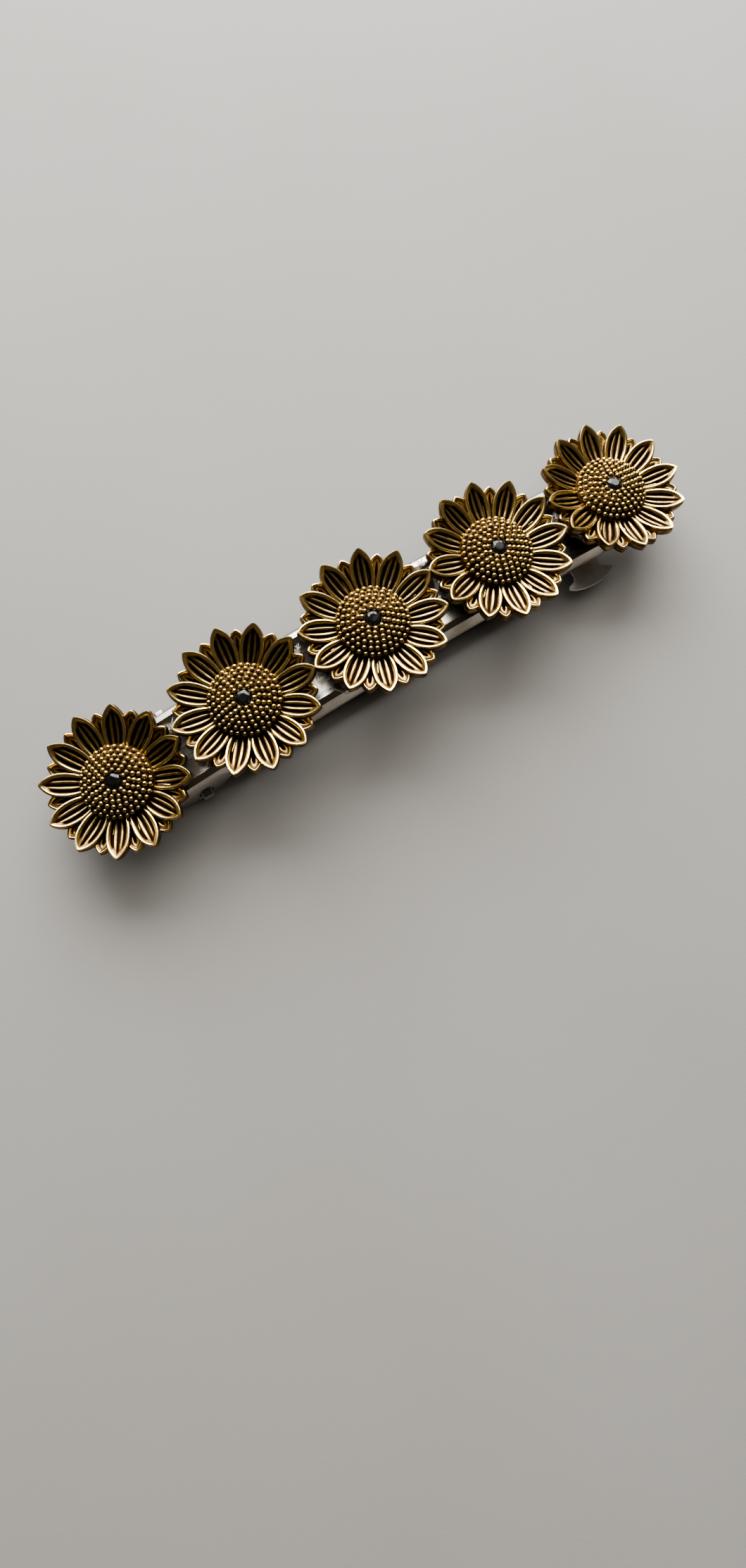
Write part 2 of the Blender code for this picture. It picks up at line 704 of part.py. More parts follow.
def main():
    """Builds the whole barrette."""
    clear_scene()
    surfaces = {
        "gold": material("antique_gold", (0.60, 0.36, 0.12), 0.32, 1.0),
        "seed": material("dark_gold", (0.34, 0.21, 0.08), 0.35, 1.0),
        "stone": material("black_stone", (0.01, 0.01, 0.012), 0.08, 0.0),
        "glue": material("clear_glue", (0.85, 0.84, 0.80), 0.15, 0.0, 0.35),
    }
    make_base_plate(material("polished_plate", (0.62, 0.60, 0.57), 0.25, 1.0))
    make_hinge_pin(material("pin_steel", (0.45, 0.44, 0.42), 0.35, 1.0))
    make_arm(material("arm_steel", (0.60, 0.59, 0.57), 0.28, 1.0))
    spring_steel = material("spring_steel", (0.55, 0.54, 0.52), 0.30, 1.0)
    make_spring(spring_steel)
    make_bracket(material("bracket_steel", (0.56, 0.55, 0.53), 0.30, 1.0))
    wing_steel = material("tab_steel", (0.66, 0.65, 0.62), 0.30, 1.0)
    make_wing("catch_tab_front", -1.0, TAB_REACH, TAB_HALF_LENGTH, wing_steel)
    make_wing("catch_tab_rear", 1.0, REAR_TAB_REACH, REAR_TAB_HALF_LENGTH, wing_steel)
    rivet_steel = material("rivet_steel", (0.50, 0.49, 0.47), 0.35, 1.0)
    for name, s in zip(("spring_rivet", "catch_rivet_inner", "catch_rivet_outer"), rivet_places()):
        make_rivet(name, s, rivet_steel)
    for index in range(FLOWER_COUNT):
        make_flower(index, surfaces)


main()
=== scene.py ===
"""The looks of a sunflower hair barrette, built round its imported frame.

Each sub-assembly is a class: the flowers, the clip's sheet-metal pieces, the clear adhesive and the
studio. Sizes are in metres, and a flower's own axes have Z along its stem axis with 0 at its flat back.
"""

from __future__ import annotations

import json
import logging
import math
import random
from dataclasses import dataclass, field
from enum import Enum

import bmesh
import bpy
import numpy as np
from mathutils import Matrix, Vector, noise

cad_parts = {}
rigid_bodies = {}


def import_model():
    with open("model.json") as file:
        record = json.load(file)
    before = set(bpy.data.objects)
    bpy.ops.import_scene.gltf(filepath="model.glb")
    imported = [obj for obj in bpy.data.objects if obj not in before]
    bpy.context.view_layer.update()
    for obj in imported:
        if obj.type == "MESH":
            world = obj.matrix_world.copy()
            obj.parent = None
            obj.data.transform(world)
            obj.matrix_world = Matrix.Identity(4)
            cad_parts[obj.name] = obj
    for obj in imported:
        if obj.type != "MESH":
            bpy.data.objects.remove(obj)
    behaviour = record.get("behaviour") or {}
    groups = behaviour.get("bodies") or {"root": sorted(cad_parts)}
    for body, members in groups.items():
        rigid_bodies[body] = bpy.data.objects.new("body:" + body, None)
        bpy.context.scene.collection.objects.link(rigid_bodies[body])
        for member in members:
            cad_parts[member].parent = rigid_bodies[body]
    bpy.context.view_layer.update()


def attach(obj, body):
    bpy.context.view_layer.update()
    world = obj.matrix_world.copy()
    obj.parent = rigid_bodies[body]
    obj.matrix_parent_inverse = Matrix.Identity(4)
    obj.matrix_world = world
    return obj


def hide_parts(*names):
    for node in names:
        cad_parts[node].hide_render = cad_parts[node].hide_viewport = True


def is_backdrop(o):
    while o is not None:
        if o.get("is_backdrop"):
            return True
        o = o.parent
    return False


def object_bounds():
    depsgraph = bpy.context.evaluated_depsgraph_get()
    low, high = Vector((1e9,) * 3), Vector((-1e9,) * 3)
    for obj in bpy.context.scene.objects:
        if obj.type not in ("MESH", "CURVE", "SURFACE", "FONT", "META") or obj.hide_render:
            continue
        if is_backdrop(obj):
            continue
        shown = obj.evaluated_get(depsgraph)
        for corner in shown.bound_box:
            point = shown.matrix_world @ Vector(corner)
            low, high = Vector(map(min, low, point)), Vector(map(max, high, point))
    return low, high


MM = 0.001
LOG = logging.getLogger("barrette")

Material = bpy.types.Material
Mesh = bpy.types.Mesh
Socket = bpy.types.NodeSocket
Triple = tuple[float, float, float]

PATINA = "patina"  # the attribute that says how dark the gold is, 0 to 1
CLIP_BODY = "clip_body"
DOME_ROUNDNESS = 0.93  # 1 would make the seed head meet its edge upright
DOME_EDGE_DROP = 0.41 * MM
DOME_PATINA = 0.68
WALL_RINGS = (  # down a petal's side: millimetres outwards, share of the wall's height, patina
    (0.05, 0.12, 0.30),
    (0.03, 0.24, 0.70),
    (0.12, 0.36, 0.46),
    (0.15, 0.68, 0.44),
    (0.09, 1.0, 0.62),
)

# ------------------------------------------------------------------------------------------ finishes


class ShaderNet:
    """A material's node tree, with short methods for the nodes that the finishes share."""

    def __init__(self, name: str) -> None:
        """Starts a material.

        Args:
            name: The material's name.
        """
        self.material = bpy.data.materials.new(name)
        self.material.use_nodes = True
        self.nodes = self.material.node_tree.nodes
        self.links = self.material.node_tree.links
        self.shader = self.nodes["Principled BSDF"]

    def link(self, source: Socket, target: Socket) -> None:
        """Joins two sockets."""
        self.links.new(source, target)

    def set(self, **values: float | tuple[float, ...]) -> None:
        """Sets constant values on the shader's own sockets.

        Args:
            values: Socket names with underscores for spaces, and their values.
        """
        for name, value in values.items():
            self.shader.inputs[name.replace("_", " ")].default_value = value

    def object_coordinates(self) -> Socket:
        """The object coordinates that every pattern is laid out in."""
        return self.nodes.new("ShaderNodeTexCoord").outputs["Object"]

    def noise(self, scale: float, detail: float = 3.0, stretch: Triple = (1, 1, 1)) -> Socket:
        """A noise pattern.

        Args:
            scale: Cells per metre.
            detail: Octaves.
            stretch: Scale of each axis.

        Returns:
            The factor socket.
        """
        mapping = self.nodes.new("ShaderNodeMapping")
        mapping.inputs["Scale"].default_value = stretch
        self.link(self.object_coordinates(), mapping.inputs["Vector"])
        made = self.nodes.new("ShaderNodeTexNoise")
        made.inputs["Scale"].default_value = scale
        made.inputs["Detail"].default_value = detail
        self.link(mapping.outputs["Vector"], made.inputs["Vector"])
        return made.outputs["Fac"]

    def attribute(self, name: str) -> Socket:
        """A point attribute's value."""
        made = self.nodes.new("ShaderNodeAttribute")
        made.attribute_name = name
        return made.outputs["Fac"]

    def ramp(self, factor: Socket, stops: list[tuple[float, Triple]]) -> Socket:
        """A colour ramp over a factor.

        Args:
            factor: The value that is looked up.
            stops: Positions and colours.

        Returns:
            The colour socket.
        """
        made = self.nodes.new("ShaderNodeValToRGB")
        points = made.color_ramp.elements
        while len(points) < len(stops):
            points.new(0.5)
        for point, (position, colour) in zip(points, stops):
            point.position = position
            point.color = (*colour, 1.0)
        self.link(factor, made.inputs["Fac"])
        return made.outputs["Color"]

    def remap(self, value: Socket, low: float, high: float, to_low: float, to_high: float) -> Socket:
        """A clamped linear remap.

        Args:
            value: The input.
            low: Input value that gives to_low.
            high: Input value that gives to_high.
            to_low: Output at low.
            to_high: Output at high.

        Returns:
            The result socket.
        """
        made = self.nodes.new("ShaderNodeMapRange")
        for name, number in (("From Min", low), ("From Max", high), ("To Min", to_low), ("To Max", to_high)):
            made.inputs[name].default_value = number
        self.link(value, made.inputs["Value"])
        return made.outputs["Result"]

    def math(self, operation: str, first: Socket, second: Socket | float) -> Socket:
        """A two-input Math node.

        Args:
            operation: The node's operation.
            first: The first input.
            second: The second input, a socket or a number.

        Returns:
            The result socket.
        """
        made = self.nodes.new("ShaderNodeMath")
        made.operation = operation
        self.link(first, made.inputs[0])
        if isinstance(second, (int, float)):
            made.inputs[1].default_value = second
        else:
            self.link(second, made.inputs[1])
        return made.outputs["Value"]

    def bump(self, height: Socket, distance: float, strength: float = 1.0) -> None:
        """Gives the shader a bump.

        Args:
            height: The height pattern.
            distance: Its depth in metres.
            strength: Share of the effect.
        """
        made = self.nodes.new("ShaderNodeBump")
        made.inputs["Distance"].default_value = distance
        made.inputs["Strength"].default_value = strength
        self.link(height, made.inputs["Height"])
        self.link(made.outputs["Normal"], self.shader.inputs["Normal"])


@dataclass(frozen=True)
class AntiqueGold:
    """Plated gold, rubbed bright where it stands proud and left dark brown in the hollows."""

    name: str = "antique_gold"
    bright: Triple = (0.90, 0.68, 0.29)
    gold: Triple = (0.46, 0.325, 0.125)
    copper: Triple = (0.15, 0.084, 0.034)
    dark: Triple = (0.016, 0.008, 0.004)
    polish: float = 0.25
    dull: float = 0.52

    def make(self) -> Material:
        """The material."""
        net = ShaderNet(self.name)
        worn = net.remap(net.noise(900.0, 4.0), 0.3, 0.7, -0.10, 0.10)
        blotch = net.remap(net.noise(220.0, 2.0), 0.3, 0.7, -0.06, 0.08)
        depth = net.math("ADD", net.attribute(PATINA), net.math("ADD", worn, blotch))
        stops = [(0.0, self.bright), (0.28, self.gold), (0.52, self.copper), (0.80, self.dark)]
        net.link(net.ramp(depth, stops), net.shader.inputs["Base Color"])
        net.link(net.remap(depth, 0.1, 0.8, self.polish, self.dull), net.shader.inputs["Roughness"])
        net.set(Metallic=1.0)
        net.bump(net.noise(2600.0, 3.0), 0.00002, 0.5)
        return net.material


@dataclass(frozen=True)
class PlatedSteel:
    """Nickel-plated sheet with fine lengthwise handling scratches."""

    name: str
    light: Triple = (0.66, 0.64, 0.61)
    deep: Triple = (0.50, 0.48, 0.45)
    polish: float = 0.16
    dull: float = 0.34
    scratch_depth: float = 0.000006

    def make(self) -> Material:
        """The material."""
        net = ShaderNet(self.name)
        cloud = net.noise(160.0, 4.0)
        grain = net.noise(2400.0, 2.0, (0.06, 1.0, 1.0))
        net.link(net.ramp(cloud, [(0.35, self.light), (0.72, self.deep)]), net.shader.inputs["Base Color"])
        sheen = net.remap(cloud, 0.3, 0.7, self.polish, self.dull)
        rough = net.math("ADD", sheen, net.remap(grain, 0.4, 0.7, 0.0, 0.06))
        net.link(rough, net.shader.inputs["Roughness"])
        net.set(Metallic=1.0)
        net.bump(grain, self.scratch_depth)
        return net.material


@dataclass(frozen=True)
class BlackStone:
    """Polished, faceted black glass, foiled behind."""

    name: str = "black_stone"
    colour: Triple = (0.003, 0.003, 0.003)
    haze: Triple = (0.010, 0.009, 0.009)

    def make(self) -> Material:
        """The material."""
        net = ShaderNet(self.name)
        cloud = net.noise(800.0, 2.0)
        net.link(net.ramp(cloud, [(0.3, self.colour), (0.8, self.haze)]), net.shader.inputs["Base Color"])
        net.link(net.remap(cloud, 0.3, 0.8, 0.18, 0.30), net.shader.inputs["Roughness"])
        net.set(Coat_Weight=0.15, IOR=1.42)
        return net.material


@dataclass(frozen=True)
class ClearGlue:
    """Hardened hot-melt adhesive: clear, lumpy and a little cloudy."""

    name: str = "clear_glue"
    tint: Triple = (0.93, 0.91, 0.86)
    cloudy: Triple = (0.70, 0.66, 0.58)

    def make(self) -> Material:
        """The material."""
        net = ShaderNet(self.name)
        cloud = net.noise(700.0, 4.0)
        streak = net.noise(900.0, 3.0, (0.35, 1.6, 1.0))
        net.link(net.ramp(cloud, [(0.3, self.tint), (0.75, self.cloudy)]), net.shader.inputs["Base Color"])
        net.link(net.remap(cloud, 0.3, 0.8, 0.07, 0.24), net.shader.inputs["Roughness"])
        net.link(net.remap(streak, 0.45, 0.70, 0.90, 0.62), net.shader.inputs["Transmission Weight"])
        net.set(IOR=1.48)
        net.bump(streak, 0.00012)
        return net.material


@dataclass(frozen=True)
class Paper:
    """The pale, faintly mottled paper under the object."""

    name: str = "studio_paper"
    light: Triple = (0.222, 0.217, 0.206)
    deep: Triple = (0.205, 0.199, 0.187)

    def make(self) -> Material:
        """The material."""
        net = ShaderNet(self.name)
        cloud = net.noise(14.0, 5.0)
        net.link(net.ramp(cloud, [(0.3, self.light), (0.7, self.deep)]), net.shader.inputs["Base Color"])
        net.set(Roughness=0.85)
        net.bump(net.noise(1800.0, 4.0), 0.00003, 0.6)
        return net.material


# ------------------------------------------------------------------------------------ mesh helpers


def new_object(name: str, mesh: Mesh) -> bpy.types.Object:
    """Links a mesh as an object at the origin.

    Args:
        name: The object's name.
        mesh: Its mesh.

    Returns:
        The object.
    """
    made = bpy.data.objects.new(name, mesh)
    bpy.context.scene.collection.objects.link(made)
    return made


def mesh_from(
    name: str, points: np.ndarray, faces: list[tuple[int, ...]], patina: np.ndarray | None = None
) -> Mesh:
    """A smooth mesh with merged doubles, outward faces and a patina attribute.

    Args:
        name: The mesh's name.
        points: Vertices, one row each.
        faces: Vertex indices of each face.
        patina: How dark each vertex's finish is, 0 to 1.

    Returns:
        The mesh.
    """
    mesh = bpy.data.meshes.new(name)
    mesh.from_pydata([tuple(map(float, p)) for p in points], [], faces)
    if patina is not None:
        layer = mesh.attributes.new(PATINA, "FLOAT", "POINT")
        layer.data.foreach_set("value", np.asarray(patina, np.float32))
    shape = bmesh.new()
    shape.from_mesh(mesh)
    bmesh.ops.remove_doubles(shape, verts=shape.verts, dist=1e-7)
    bmesh.ops.recalc_face_normals(shape, faces=shape.faces)
    shape.to_mesh(mesh)
    shape.free()
    mesh.shade_smooth()
    return mesh


def loft_faces(loops: int, size: int, first: int = 0) -> list[tuple[int, ...]]:
    """Faces that bridge closed loops, each stored after the other, with open ends.

    Args:
        loops: How many loops there are.
        size: Points in each.
        first: Index of the first loop's first point.

    Returns:
        The faces.
    """
    faces: list[tuple[int, ...]] = []
    for i in range(loops - 1):
        low = first + i * size
        for j in range(size):
            k = (j + 1) % size
            faces.append((low + j, low + k, low + size + k, low + size + j))
    return faces


def drop_degenerate(mesh: Mesh, within: float) -> None:
    """Dissolves a mesh's faces and edges that are shorter than a length."""
    shape = bmesh.new()
    shape.from_mesh(mesh)
    bmesh.ops.dissolve_degenerate(shape, dist=within, edges=shape.edges)
    shape.to_mesh(mesh)
    shape.free()


def evaluated_mesh(item: bpy.types.Object, name: str) -> Mesh:
    """The plain mesh that an object's modifiers give.

    Args:
        item: The object.
        name: Name of the new mesh.

    Returns:
        The mesh.
    """
    graph = bpy.context.evaluated_depsgraph_get()
    graph.update()
    made = bpy.data.meshes.new_from_object(item.evaluated_get(graph))
    made.name = name
    return made


def join_meshes(name: str, meshes: list[Mesh]) -> Mesh:
    """One mesh of several, with their point attributes and materials kept.

    Args:
        name: The result's name.
        meshes: The meshes, which may have different materials.

    Returns:
        The mesh.
    """
    items = [new_object(f"{name}_{i}", mesh) for i, mesh in enumerate(meshes)]
    with bpy.context.temp_override(active_object=items[0], selected_editable_objects=items):
        bpy.ops.object.join()
    made = items[0].data
    bpy.data.objects.remove(items[0])
    made.name = name
    return made


def finish_piece(item: bpy.types.Object, body: str, nodes: list[str]) -> None:
    """Puts a finished piece on its body, in place of its CAD nodes.

    Args:
        item: The piece.
        body: The body that it moves with.
        nodes: The CAD nodes that it stands for.
    """
    if nodes:
        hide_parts(*nodes)
    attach(item, body)
    LOG.info("%s rides on %s, %d faces", item.name, body, len(item.data.polygons))


# ----------------------------------------------------------------------------------- geometry nodes


class GeometryTree:
    """A Geometry Nodes tree built in code, with named inputs."""

    def __init__(self, name: str) -> None:
        """Starts a tree with a geometry input and output.

        Args:
            name: The tree's name.
        """
        self.tree = bpy.data.node_groups.new(name, "GeometryNodeTree")
        self.tree.interface.new_socket("Geometry", in_out="INPUT", socket_type="NodeSocketGeometry")
        self.tree.interface.new_socket("Geometry", in_out="OUTPUT", socket_type="NodeSocketGeometry")
        self.inputs = self.tree.nodes.new("NodeGroupInput")
        self.output = self.tree.nodes.new("NodeGroupOutput")
        self.identifiers: dict[str, str] = {}

    def add_input(self, name: str, kind: str) -> Socket:
        """Adds a named input.

        Args:
            name: Its name.
            kind: Its socket type, such as NodeSocketFloat.

        Returns:
            The socket inside the tree.
        """
        made = self.tree.interface.new_socket(name, in_out="INPUT", socket_type=kind)
        self.identifiers[name] = made.identifier
        return self.inputs.outputs[name]

    def node(self, kind: str, **values: object) -> bpy.types.Node:
        """Adds a node.

        Args:
            kind: The node's type.
            values: Properties, set by name.

        Returns:
            The node.
        """
        made = self.tree.nodes.new(kind)
        for name, value in values.items():
            setattr(made, name, value)
        return made

    def link(self, source: Socket, target: Socket) -> None:
        """Joins two sockets."""
        self.tree.links.new(source, target)

    def math(self, operation: str, first: object, second: object) -> Socket:
        """A Math node of sockets or numbers.

        Args:
            operation: The operation.
            first: The first input.
            second: The second input.

        Returns:
            The result socket.
        """
        made = self.node("ShaderNodeMath", operation=operation)
        for socket, value in zip(made.inputs, (first, second)):
            if isinstance(value, (int, float)):
                socket.default_value = value
            else:
                self.link(value, socket)
        return made.outputs["Value"]

    def finish(self, geometry: Socket, material: Socket) -> None:
        """Ends the tree in Realize Instances and Set Material.

        Args:
            geometry: What the tree made.
            material: The material input.
        """
        real = self.node("GeometryNodeRealizeInstances")
        self.link(geometry, real.inputs["Geometry"])
        coated = self.node("GeometryNodeSetMaterial")
        self.link(real.outputs["Geometry"], coated.inputs["Geometry"])
        self.link(material, coated.inputs["Material"])
        self.link(coated.outputs["Geometry"], self.output.inputs["Geometry"])

    def apply(self, mesh: Mesh, name: str, values: dict[str, object]) -> Mesh:
        """Runs the tree on a mesh.

        Args:
            mesh: The mesh that goes in.
            name: Name of the mesh that comes out.
            values: Input names and their values.

        Returns:
            The plain mesh that the tree gives.
        """
        holder = new_object(f"{name}_holder", mesh)
        step = holder.modifiers.new(self.tree.name, "NODES")
        step.node_group = self.tree
        for key, value in values.items():
            step[self.identifiers[key]] = value
        made = evaluated_mesh(holder, name)
        holder.modifiers.remove(step)
        bpy.data.objects.remove(holder)
        return made


def petal_ring_tree() -> GeometryTree:
    """The tree that sets one petal round the stem axis a number of times."""
    tree = GeometryTree("petal_ring")
    count = tree.add_input("Count", "NodeSocketInt")
    phase = tree.add_input("Phase", "NodeSocketFloat")
    wobble = tree.add_input("Wobble", "NodeSocketFloat")
    seed = tree.add_input("Seed", "NodeSocketInt")
    material = tree.add_input("Material", "NodeSocketMaterial")
    points = tree.node("GeometryNodePoints")
    tree.link(count, points.inputs["Count"])
    index = tree.node("GeometryNodeInputIndex")
    share = tree.math("DIVIDE", index.outputs["Index"], count)
    angle = tree.math("ADD", tree.math("MULTIPLY", share, 2.0 * math.pi), phase)
    jitter = tree.node("FunctionNodeRandomValue", data_type="FLOAT")
    low = tree.math("MULTIPLY", wobble, -1.0)
    numbers = [socket for socket in jitter.inputs if socket.enabled and socket.name in ("Min", "Max")]
    tree.link(low, numbers[0])
    tree.link(wobble, numbers[1])
    tree.link(seed, jitter.inputs["Seed"])
    drawn = next(socket for socket in jitter.outputs if socket.enabled)
    turn = tree.node("ShaderNodeCombineXYZ")
    tree.link(drawn, turn.inputs["Y"])
    tree.link(tree.math("ADD", angle, drawn), turn.inputs["Z"])
    place = tree.node("GeometryNodeInstanceOnPoints")
    tree.link(points.outputs["Points"], place.inputs["Points"])
    tree.link(tree.inputs.outputs["Geometry"], place.inputs["Instance"])
    tree.link(turn.outputs["Vector"], place.inputs["Rotation"])
    tree.finish(place.outputs["Instances"], material)
    return tree


def bead_tree() -> GeometryTree:
    """The tree that puts a small bead on each point of a mesh."""
    tree = GeometryTree("seed_beads")
    radius = tree.add_input("Bead Radius", "NodeSocketFloat")
    spread = tree.add_input("Size Spread", "NodeSocketFloat")
    seed = tree.add_input("Seed", "NodeSocketInt")
    material = tree.add_input("Material", "NodeSocketMaterial")
    ball = tree.node("GeometryNodeMeshUVSphere")
    ball.inputs["Segments"].default_value = 12
    ball.inputs["Rings"].default_value = 6
    tree.link(radius, ball.inputs["Radius"])
    soft = tree.node("GeometryNodeSetShadeSmooth")
    tree.link(ball.outputs["Mesh"], soft.inputs["Geometry"])
    jitter = tree.node("FunctionNodeRandomValue", data_type="FLOAT")
    numbers = [socket for socket in jitter.inputs if socket.enabled and socket.name in ("Min", "Max")]
    tree.link(tree.math("SUBTRACT", 1.0, spread), numbers[0])
    tree.link(tree.math("ADD", 1.0, spread), numbers[1])
    tree.link(seed, jitter.inputs["Seed"])
    drawn = next(socket for socket in jitter.outputs if socket.enabled)
    place = tree.node("GeometryNodeInstanceOnPoints")
    tree.link(tree.inputs.outputs["Geometry"], place.inputs["Points"])
    tree.link(soft.outputs["Geometry"], place.inputs["Instance"])
    tree.link(drawn, place.inputs["Scale"])
    tree.finish(place.outputs["Instances"], material)
    return tree


# ------------------------------------------------------------------------------------------ flowers


@dataclass(frozen=True)
class Seat:
    """Where a flower stands: its frame in the object's axes."""

    matrix: Matrix

    @classmethod
    def of_flower(cls, number: int) -> Seat:
        """Reads a flower's place from its CAD nodes.

        Args:
            number: The flower, from 1.

        Returns:
            The seat: Z is the flower's axis, X points at a large petal, and 0 is the casting's back.
        """
        head = cls.points(f"flower_{number}_seed_head")
        middle = head.mean(axis=0)
        axis = np.linalg.svd(head - middle)[2][2]
        if axis[2] < 0.0:
            axis = -axis
        petals = cls.points(f"flower_{number}_petals")
        height = (petals - middle) @ axis
        flat = petals - middle - np.outer(height, axis)
        reach = np.linalg.norm(flat, axis=1)
        tip = flat[int(np.argmax(reach))]
        across = tip / np.linalg.norm(tip)
        origin = middle + axis * height.min()
        rows = np.column_stack([across, np.cross(axis, across), axis])
        return cls(Matrix.Translation(Vector(origin)) @ Matrix(rows.tolist()).to_4x4())

    @staticmethod
    def points(node: str) -> np.ndarray:
        """The vertices of a CAD node, each once.

        Args:
            node: The node's name.

        Returns:
            One row for each vertex.
        """
        vertices = bpy.data.objects[node].data.vertices
        found = np.zeros(len(vertices) * 3, np.float32)
        vertices.foreach_get("co", found)
        return np.unique(np.round(found.reshape(-1, 3).astype(float), 6), axis=0)


class PetalKind(Enum):
    """The two layers of petals."""

    UPPER = "upper"
    LOWER = "lower"


@dataclass(frozen=True)
class Petal:
    """One cast petal: a pointed dish with a rounded rim, grooves from its foot and a thick side wall."""

    kind: PetalKind
    foot: float  # radius where it starts, under the seed head
    tip: float
    foot_half_width: float
    half_width: float
    widest: float  # share of its length
    rim_height: float  # of the rim over the casting's back, at the tip
    slope: float
    rim_width: float
    dish: float
    groove_depth: float
    grooves: tuple[tuple[float, float], ...]  # each one's place across the petal, and where along it ends
    groove_width: float
    wall: float
    hollow_patina: float
    stations: int = 49
    rows: int = 25

    def half(self, share: float) -> float:
        """Half the petal's width at a share of its length."""
        if share < self.widest:
            t = share / self.widest
            return self.foot_half_width + (self.half_width - self.foot_half_width) * (1.0 - (1.0 - t) ** 2)
        t = (share - self.widest) / (1.0 - self.widest)
        return self.half_width * (1.0 - t**2.3) ** 0.8

    def outline(self) -> np.ndarray:
        """The rim's outer line from one side of the foot round the tip to the other, as (x, y) rows."""
        half = self.stations // 2
        shares = [1.0 - (1.0 - i / half) ** 1.25 for i in range(half + 1)]
        length = self.tip - self.foot
        side = [(self.foot + length * share, self.half(share)) for share in shares]
        return np.array(side + [(x, -y) for x, y in reversed(side[:-1])])

    def top(
        self, x: np.ndarray, y: np.ndarray, inside: np.ndarray, span: np.ndarray
    ) -> tuple[np.ndarray, np.ndarray]:
        """Height and patina of the upper surface.

        Args:
            x: Distance from the stem axis.
            y: Distance from the midrib.
            inside: Distance from the outline.
            span: Half the width there.

        Returns:
            Heights over the casting's back, and patina values.
        """
        share = (x - self.foot) / (self.tip - self.foot)
        base = self.rim_height - (self.tip - x) * self.slope
        ridge = np.exp(-(((inside - 0.45 * self.rim_width) / (0.48 * self.rim_width)) ** 2))
        across = np.clip(np.abs(y) / np.maximum(span, 1e-6), 0.0, 1.0)
        taper = np.clip(span / self.half_width, 0.0, 1.0)
        hollow = self.dish * (1.0 - across**1.6) * taper * np.clip(0.35 + 2.2 * share, 0.0, 1.0)
        cut = np.zeros_like(x)
        for centre, end in self.grooves:
            fade = np.clip((end - share) / 0.16, 0.0, 1.0)
            fade = fade * fade * (3.0 - 2.0 * fade)
            place = (y / np.maximum(span, 1e-6) - centre) / self.groove_width
            cut = np.maximum(cut, fade * np.exp(-(place**2)))
        crease = np.exp(-(((inside - 1.35 * self.rim_width) / (0.32 * self.rim_width)) ** 2)) * taper
        height = base - 0.18 * MM * (1.0 - ridge) - hollow - self.groove_depth * cut - 0.05 * MM * crease
        patina = 0.06 + self.hollow_patina * (1.0 - ridge) + 0.90 * cut + 0.45 * crease - 0.10 * ridge
        patina += 0.30 * np.clip(1.0 - share / 0.20, 0.0, 1.0) * (1.0 - ridge)
        return height, np.clip(patina, 0.0, 1.0)

    def mesh(self) -> Mesh:
        """The petal as one closed mesh, along +X from the stem axis."""
        line = self.outline()
        count = len(line)
        length = self.tip - self.foot
        share = (line[:, 0] - self.foot) / length
        rib = np.column_stack([self.foot + length * (share * (1.0 - 0.10 * share**3)), np.zeros(count)])
        steps = np.linspace(0.0, 1.0, self.rows) ** 1.1
        rings: list[np.ndarray] = []
        shades: list[np.ndarray] = []
        for step in steps:
            flat = line + (rib - line) * step
            span = np.array([self.half(min(1.0, max(0.0, (x - self.foot) / length))) for x in flat[:, 0]])
            inside = np.linalg.norm(line - rib, axis=1) * step
            height, patina = self.top(flat[:, 0], flat[:, 1], inside, np.maximum(span, np.abs(flat[:, 1])))
            rings.append(np.column_stack([flat, height]))
            shades.append(patina)
        tangent = np.gradient(line, axis=0)
        tangent /= np.linalg.norm(tangent, axis=1)[:, None] + 1e-12
        normal = np.column_stack([-tangent[:, 1], tangent[:, 0]])
        normal *= -np.sign(normal[count // 4, 1] * -1.0)
        rim = rings[0]
        walls: list[np.ndarray] = []
        wall_shades: list[np.ndarray] = []
        for out, drop, shade in WALL_RINGS:
            ring = rim.copy()
            ring[:, :2] += normal * out * MM
            ring[:, 2] -= drop * self.wall
            walls.append(ring)
            wall_shades.append(np.full(count, shade))
        under = np.column_stack([rib, walls[-1][:, 2] + 0.1 * MM])
        stack = list(reversed(rings)) + walls + [under]
        tones = list(reversed(shades)) + wall_shades + [np.full(count, 0.9)]
        points = np.concatenate(stack)
        faces: list[tuple[int, ...]] = []
        for i in range(len(stack) - 1):
            for j in range(count - 1):
                faces.append((i * count + j, i * count + j + 1, (i + 1) * count + j + 1, (i + 1) * count + j))
        for column in (0, count - 1):
            faces.append(tuple(i * count + column for i in range(len(stack))))
        return mesh_from(f"petal_{self.kind.value}", points, faces, np.concatenate(tones))


